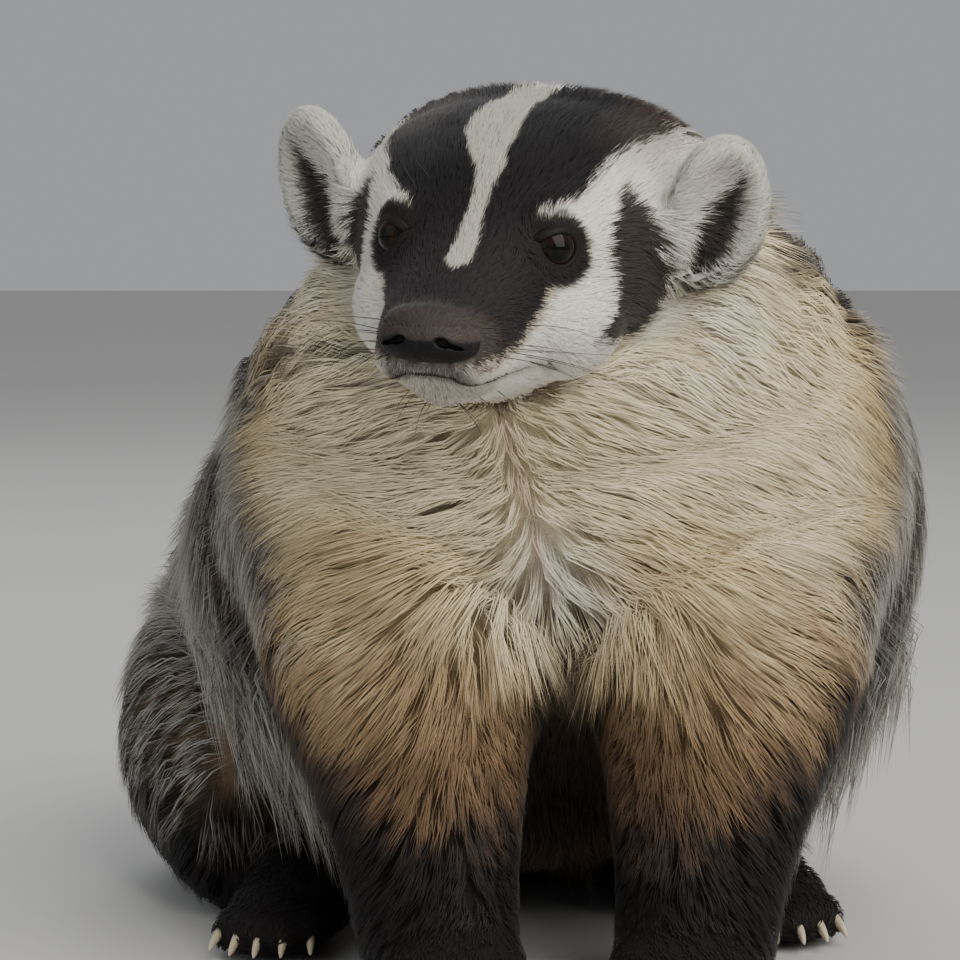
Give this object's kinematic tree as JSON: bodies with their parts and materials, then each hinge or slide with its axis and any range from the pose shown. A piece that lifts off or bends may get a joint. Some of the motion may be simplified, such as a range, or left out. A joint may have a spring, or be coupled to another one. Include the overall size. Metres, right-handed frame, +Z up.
{
  "type": "american badger",
  "caption": "Life-size American badger sitting upright on its haunches, forelegs straight, head turned a little, shaggy coat in locks",
  "frame": {"origin": "on the floor, under the middle of the animal's box", "axes": "+Z up; the animal faces -Y, along the longest extent; +X is the animal's left"},
  "size_m": [0.2856, 0.5556, 0.3002],
  "materials": {
    "face_fur": "short dense fur, white and near black",
    "nose_leather": "moist pebbled nose leather",
    "eye": "wet, dark brown",
    "ear_fur": "short soft fur, white rimmed",
    "body_fur": "long shaggy guard hair, cream and grizzled",
    "tail_fur": "bushy coarse hair",
    "leg_fur": "tan hair darkening downwards",
    "paw": "short black-brown hair, pale horn claws"
  },
  "bodies": {
    "root": {"head": "face_fur", "nose": "nose_leather", "eye_left": "eye", "eye_right": "eye", "ear_left": "ear_fur", "ear_right": "ear_fur", "neck": "body_fur", "torso": "body_fur", "rump": "body_fur", "tail": "tail_fur", "foreleg_left": "leg_fur", "foreleg_right": "leg_fur", "forepaw_left": "paw", "forepaw_right": "paw", "hindleg_left": "body_fur", "hindleg_right": "body_fur", "hindpaw_left": "paw", "hindpaw_right": "paw"}
  },
  "joints": []
}
